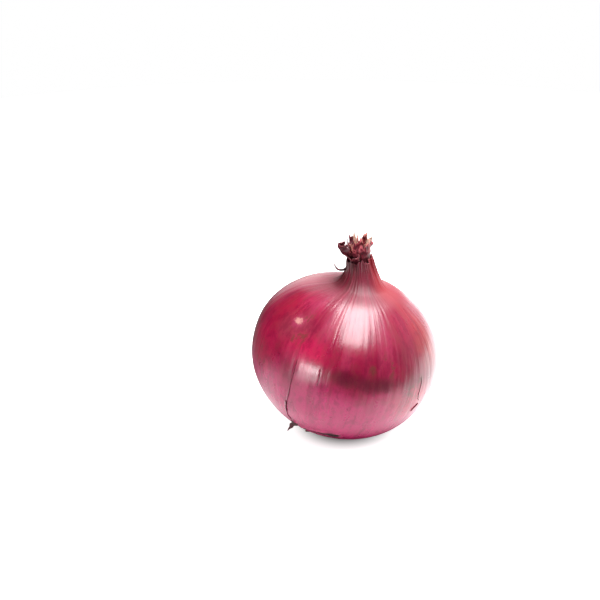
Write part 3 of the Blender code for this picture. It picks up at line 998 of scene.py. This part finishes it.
# %% The skin's colour, from wide areas to fine lines
def skin_colour(board, place, middle, fine, clouds):
    wide = streaks(board, place, 10, 0.035)
    lower = 1.0 - board.rise(place.z + (clouds - 0.5) * 22.0, -9.0, 7.0)
    colour = board.blend(lower, CRIMSON, MAGENTA)
    colour = board.blend(board.rise(wide, 0.46, 0.72) * 0.5, colour, DEEP_CRIMSON)
    colour = board.blend(board.rise(middle, 0.50, 0.72) * 0.24, colour, ROSE_PINK)
    colour = board.blend(board.rise(fine, 0.54, 0.70) * 0.15, colour, ROSE_PINK)
    for azimuth, height, half_width, half_height, strength, ragged, tint in SKIN_AREAS:
        area = patch(board, place, azimuth, height, half_width, half_height, ragged)
        colour = board.blend(area * (middle * 0.7 + 0.65) * strength, colour, tint)
    smudge_place = board.vector(place.around_x * 9.0, place.around_y * 9.0, place.z * 0.19)
    smudges = board.noise(smudge_place, 1.0, 6.0, 0.72)
    mottled = 0.30
    for area in MOTTLED_AREAS:
        mottled = patch(board, place, *area, 0.6) + mottled
    colour = board.blend(board.rise(smudges, 0.46, 0.60) * board.maths("MINIMUM", mottled, 0.80),
                         colour, OLIVE_BROWN)
    colour = board.blend(board.rise(1.0 - smudges, 0.47, 0.60) * 0.42, colour, DEEP_CRIMSON)
    colour = board.blend(board.rise(1.0 - middle, 0.50, 0.72) * 0.26, colour, DEEP_CRIMSON)
    return board.blend(board.rise(1.0 - fine, 0.54, 0.70) * 0.20, colour, DEEP_CRIMSON)


# %% The neck's colour
def neck_colour(board, place, colour, middle, fine):
    """Darker and dustier up the neck, and nearly black inside its hollow as painted shade."""
    neckness = board.rise(place.z, 26.5, 34.0)
    left_side = board.rise(place.around_y * -0.35 - place.around_x, 0.2, 1.0)
    dusty = left_side * board.rise(middle, 0.30, 0.55)
    upper = board.blend(dusty * 0.8, NECK_MAROON, DUSTY_BROWN)
    ruddy = board.rise(place.around_x, 0.35, 0.95)
    upper = board.blend(ruddy * 0.8, upper, ORANGE_RED)
    upper = board.blend(board.rise(fine, 0.5, 0.70) * 0.5, upper, CRIMSON)
    dusty_top = board.rise(place.z, 36.0, 41.0) * board.rise(middle, 0.40, 0.60)
    upper = board.blend(dusty_top * 0.5, upper, DUSTY_BROWN)
    colour = board.blend(neckness * 0.9, colour, upper)
    # painted shade: the hollow inside the neck is painted nearly black
    inside = (1.0 - board.rise(place.distance, 4.2, 5.2)) * board.rise(place.z, 30.0, 33.0)
    return board.blend(inside, colour, NEARLY_BLACK)


# %% The skin's material
def skin_material(name, torn=False):
    """The skin; torn skin also darkens towards the free side of its strip."""
    material, board = start_material(name)
    place = upright(board)
    middle = streaks(board, place, 36, 0.030, 3.0, 7.0)
    fine = streaks(board, place, 150, 0.045, 3.0, 3.0)
    clouds = board.noise(place.mapped, 0.055, 4.0, 0.6)
    speckle = board.noise(place.mapped, 0.9, 3.0, 0.6)

    colour = skin_colour(board, place, middle, fine, clouds)
    # painted highlight: a pale cream spot painted in as a small lamp's reflection
    for azimuth, height, half_width, half_height, strength, ragged, grain, tint in PAINTED_HIGHLIGHT_SPOT:
        area = patch(board, place, azimuth, height, half_width, half_height, ragged, grain)
        colour = board.blend(area * strength, colour, tint)
    colour = board.blend(board.rise(0.0 - place.z, 30.5, 34.0) * 0.7, colour, ROOT_TAN)
    # painted shade: the slit is painted nearly black, partly its dark inner layer and partly the shade
    # inside it
    slit_painted_shade = 0.0
    for area in SLIT_PAINTED_SHADES:
        slit_painted_shade = patch(board, place, *area, 0.3, 0.5) * 2.5 + slit_painted_shade
    slit_painted_shade = board.maths("MINIMUM", slit_painted_shade, 0.97)
    colour = board.blend(slit_painted_shade, colour, NEARLY_BLACK)
    colour = neck_colour(board, place, colour, middle, fine)
    wax = (1.0 - board.rise(place.z, 27.0, 32.0)) * (1.0 - slit_painted_shade)
    neck_foot_ring = board.rise(place.z, 28.5, 31.5) * (1.0 - board.rise(place.z, 33.0, 36.5))
    dullness = neck_foot_ring * 0.24 + board.rise(place.z, 33.0, 36.5) * 0.10 + slit_painted_shade * 0.5
    if torn:
        _, across, _ = board.parts_of(board.node("TexCoord", {}, {}, "UV"))
        free_side = board.rise(across, 0.72, 0.95)
        colour = board.blend(free_side * 0.9, colour, TORN_RIM)
        dullness = dullness + free_side * 0.4
        wax = wax * (1.0 - free_side)

    roughness = 0.30 + dullness + (middle - 0.5) * 0.16 + (clouds - 0.5) * 0.22
    height = (middle - 0.5) * 0.6 + (fine - 0.5) * 0.45 + (speckle - 0.5) * 0.04
    board.finish(Base_Color=colour, Roughness=roughness, Normal=board.bump(height, 0.5, 0.6 * MM),
                 IOR=1.5, Coat_Weight=wax * 0.2, Coat_Roughness=0.2, Coat_IOR=1.5)
    return material


skin = skin_material("red_onion_skin")
torn_skin = skin_material("torn_red_onion_skin", torn=True)


# %% [markdown]
# ## The dried leaf ends' finish
#
# Dried leaf ends are the same paper with the wax gone: brittle and finely ribbed along their
# length, nearly black where several layers lie together, and straw-pink at the edges and
# tips, where one thin layer is left. Towards its foot, deep among the others in the neck,
# each is painted nearly black as shade. The sheets that they were bent from carry a map of
# their own, along and across, so the ribs follow each strip through every curl.

# %% Dried leaf material
def leaf_material(name, body, ribs, edge, edge_share, gloss):
    material, board = start_material(name)
    place = upright(board)
    along, across, _ = board.parts_of(board.node("TexCoord", {}, {}, "UV"))
    lines = board.noise(board.vector(along * 2.5, across * 17.0, place.z * 0.05), 1.0, 3.0, 0.6)
    blotch = board.noise(place.mapped, 0.42, 3.0, 0.6)
    from_middle = abs(across - 0.5) * 2.0
    thin = board.maths("MAXIMUM", board.rise(from_middle + (blotch - 0.5) * 0.5, 0.72, 0.98),
                       board.rise(along + (blotch - 0.5) * 0.25, 0.84, 0.98))
    colour = board.blend(board.rise(lines, 0.44, 0.66), body, ribs)
    colour = board.blend(board.rise(blotch, 0.54, 0.72) * 0.6, colour, edge)
    colour = board.blend(thin * edge_share, colour, edge)
    colour = board.blend(board.rise(1.0 - blotch, 0.52, 0.70) * 0.7, colour, NEARLY_BLACK)
    # painted shade: each leaf end is painted nearly black towards its foot, deep among the others in the
    # neck
    foot = 1.0 - board.rise(along, 0.30, 0.62)
    colour = board.blend(foot * 0.75, colour, NEARLY_BLACK)
    height = lines + blotch * 0.8
    board.finish(Base_Color=colour, Roughness=gloss + (blotch - 0.5) * 0.3,
                 Normal=board.bump(height, 0.7, 0.4 * MM), IOR=1.38)
    return material


leaf_finishes = {
    "dark_leaf": leaf_material("dark_dried_leaf", (0.040, 0.0015, 0.006), (0.110, 0.005, 0.018),
                               (0.260, 0.060, 0.070), 0.45, 0.42),
    "red_leaf": leaf_material("red_dried_leaf", (0.085, 0.0025, 0.011), (0.200, 0.010, 0.026),
                              (0.480, 0.090, 0.110), 0.75, 0.48),
    "rose_leaf": leaf_material("rose_dried_leaf", (0.190, 0.018, 0.028), (0.360, 0.070, 0.075),
                               (0.640, 0.280, 0.230), 0.80, 0.42),
    "pale_leaf": leaf_material("pale_dried_leaf", (0.320, 0.120, 0.095), (0.520, 0.270, 0.205),
                               (0.660, 0.440, 0.340), 0.85, 0.48),
}


# %% [markdown]
# ## Cork and dry roots
#
# The root disc is corky and the roots are like straw. Both are dull and grainy and are seen
# only from below, so one small material with a two-tone grain does for both, each with its
# own colours and its own size of grain.

# %% Cork and dry roots
def grainy_material(name, grain, dark, pale, roughness, strength, depth):
    """Dry and dull, with a grain in two tones that also dents the surface."""
    material, board = start_material(name)
    grain = board.noise(upright(board).mapped, *grain)
    colour = board.blend(board.rise(grain, 0.35, 0.65), dark, pale)
    board.finish(Base_Color=colour, Roughness=roughness, Normal=board.bump(grain, strength, depth))
    return material


cork = grainy_material("cork", (1.4, 4.0, 0.7), (0.090, 0.045, 0.020), (0.300, 0.180, 0.090),
                       0.85, 0.8, 0.6 * MM)
dry_root = grainy_material("dry_root", (1.1, 3.0, 0.6), (0.220, 0.120, 0.045), (0.520, 0.360, 0.180),
                           0.75, 0.6, 0.4 * MM)
print("made the materials", cork.name, "and", dry_root.name)


# %% [markdown]
# ## The floor's finish
#
# The floor is a pale table that glows where light falls on it. The camera sees it as an even
# white that drowns all but the innermost shadow. The skin mirrors more than that: a bright
# table at the right and near the onion, a pool of light at the front left, and dark beyond
# the front edge. A Light Path node tells the two apart, which is allowed on a floor because
# it isn't part of the object.

# %% The floor's material
BRIGHTEST_GLOW = 10.0


def floor_material():
    """Even white to the camera; to the skin, bright only near the onion and at its right."""
    material, board = start_material("pale_floor")
    where = board.node("TexCoord", {}, {}, "Object")
    x, y, _ = board.parts_of(where)
    distance = board.root(x * x + y * y)
    seen_glow = board.rise(distance, 0.009, 0.025)
    table = board.rise(distance, 0.020, 0.042) * board.rise(x, -0.26, -0.08)
    table = table * board.rise(y - x * 0.25, -0.105, -0.050)
    table = table * (1.5 + board.rise(x, 0.0, 0.07) * 1.7)
    table = table * (1.0 - board.rise(y, -0.01, 0.04) * (1.0 - board.rise(x, -0.06, -0.02)) * 0.95)
    pool_x, pool_y = x + 0.165, y + 0.185
    pool = 1.0 - board.rise(board.root(pool_x * pool_x + pool_y * pool_y), 0.03, 0.11)
    mirrored_glow = table + pool * 8.0
    seen = board.node("LightPath", {}, {}, "Is Camera Ray")
    glow = mirrored_glow + seen * (seen_glow - mirrored_glow)
    base = board.blend(seen, (0.03, 0.03, 0.03), (0.68, 0.68, 0.675))
    grain = board.noise(where, 3.0)
    base = board.blend(grain * 0.1, base, (0.5, 0.5, 0.5))
    board.finish(Base_Color=base, Roughness=0.75, Emission_Strength=BRIGHTEST_GLOW,
                 Emission_Color=board.blend(glow / BRIGHTEST_GLOW, (0.0, 0.0, 0.0), (1.0, 1.0, 1.0)))
    return material


pale_floor = floor_material()

# %% [markdown]
# ## Putting the finishes on
#
# Every piece gets its material, rides on the imported model's one body and says which CAD
# piece it stands for.

# %% Give every piece its finish
SHRED_SLOTS = ["dark_leaf", "dark_leaf", "red_leaf", "dark_leaf", "rose_leaf"]
finish_piece(bulb, skin, "skin", "bulb")
for edge in torn_edges:
    finish_piece(edge, torn_skin, "skin")
finish_piece(flake, leaf_finishes["dark_leaf"], "dark_leaf", "skin_flake")
for name, piece in leaves.items():
    slot_name = LEAF_HABITS[name][0]
    finish_piece(piece, leaf_finishes[slot_name], slot_name, name)
for number, piece in enumerate(shreds):
    slot_name = SHRED_SLOTS[number % len(SHRED_SLOTS)]
    finish_piece(piece, leaf_finishes[slot_name], slot_name)
finish_piece(hook, leaf_finishes["dark_leaf"], "dark_leaf", "hook_strand")
finish_piece(disc, cork, "cork", "root_disc")
for name, piece in roots.items():
    finish_piece(piece, dry_root, "root", name)
for piece in hairs:
    finish_piece(piece, dry_root, "root")

# %% [markdown]
# ## Floor, light and camera
#
# The onion stands in a bright studio on a pale floor that runs away to white. One large soft
# light hangs above it and to the right, a small low one stands far off at the front left, and
# the room is white low down behind and at the right. Towards the camera the room is dim, and
# the gloss of the skin shows that as a dark band across the middle, which painted shade in the
# skin's colour makes deeper.

# %% Floor
FLOOR_RADIUS = 0.6
floor = add_new("floor", bpy.ops.mesh.primitive_circle_add, vertices=96, radius=FLOOR_RADIUS,
                fill_type="NGON")
floor.data.materials.append(pale_floor)


# %% Lights
def panel(name, place, aim, top, width, height, power):
    """A soft rectangular light at a place, facing a point, with its height along the top direction."""
    light = add_new(name, bpy.ops.object.light_add, type="AREA", location=place)
    light.data.shape = "RECTANGLE"
    light.data.size = width
    light.data.size_y = height
    light.data.energy = power
    backwards = (Vector(place) - Vector(aim)).normalized()
    sideways = Vector(top).cross(backwards).normalized()
    upwards = backwards.cross(sideways)
    light.rotation_euler = Matrix((sideways, upwards, backwards)).transposed().to_euler()
    light.visible_camera = False
    return light


bulb_heart = Vector((0.0, 0.0, axis_foot.z))
panel("overhead_softbox", place=(0.150, -0.070, 0.55), aim=(0.060, -0.050, 0.0), top=(0.0, 1.0, 0.0),
      width=0.30, height=0.70, power=11.2)
panel("low_left_panel", place=(-0.49, -0.56, 0.055), aim=bulb_heart, top=(0.0, 0.0, 1.0),
      width=0.33, height=0.17, power=3.1)


def light_the_room(world):
    """White low down behind and at the right, nearly dark above, at the left and in front."""
    world.use_nodes = True
    board = Board(world.node_tree, world.node_tree.nodes["Background"])
    x, y, z = board.parts_of(board.node("TexCoord", {}, {}, "Generated"))
    low = 1.0 - board.rise(z, 0.45, 0.85)
    behind_right = board.rise(x * 0.67 + y * 0.74, 0.30, 0.62)
    glow = 0.03 + low * behind_right * (0.8 + board.rise(y, 0.55, 0.95) * 0.8)
    seen = board.node("LightPath", {}, {}, "Is Camera Ray")
    board.finish(Color=(1.0, 1.0, 1.0), Strength=glow + seen * (1.0 - glow))


bpy.context.scene.world = bpy.data.worlds.new("studio_room")
light_the_room(bpy.context.scene.world)

# %% Camera
CAMERA_HEIGHT = math.radians(25.0)
CAMERA_DISTANCE = 0.597
LENS = 85.0
SENSOR = 36.0
ASIDE = 19.1 * MM
ABOVE = 22.2 * MM
towards_camera = Vector((0.0, -math.cos(CAMERA_HEIGHT), math.sin(CAMERA_HEIGHT)))
picture_up = Vector((0.0, math.sin(CAMERA_HEIGHT), math.cos(CAMERA_HEIGHT)))
aim_point = bulb_heart - Vector((ASIDE, 0.0, 0.0)) + picture_up * ABOVE
camera = add_new("camera", bpy.ops.object.camera_add,
                 location=bulb_heart + towards_camera * CAMERA_DISTANCE)
camera.data.lens = LENS
camera.data.sensor_width = SENSOR
camera.rotation_euler = (aim_point - camera.location).to_track_quat("-Z", "Y").to_euler()
bpy.context.scene.camera = camera
bpy.context.scene.view_settings.view_transform = "Standard"
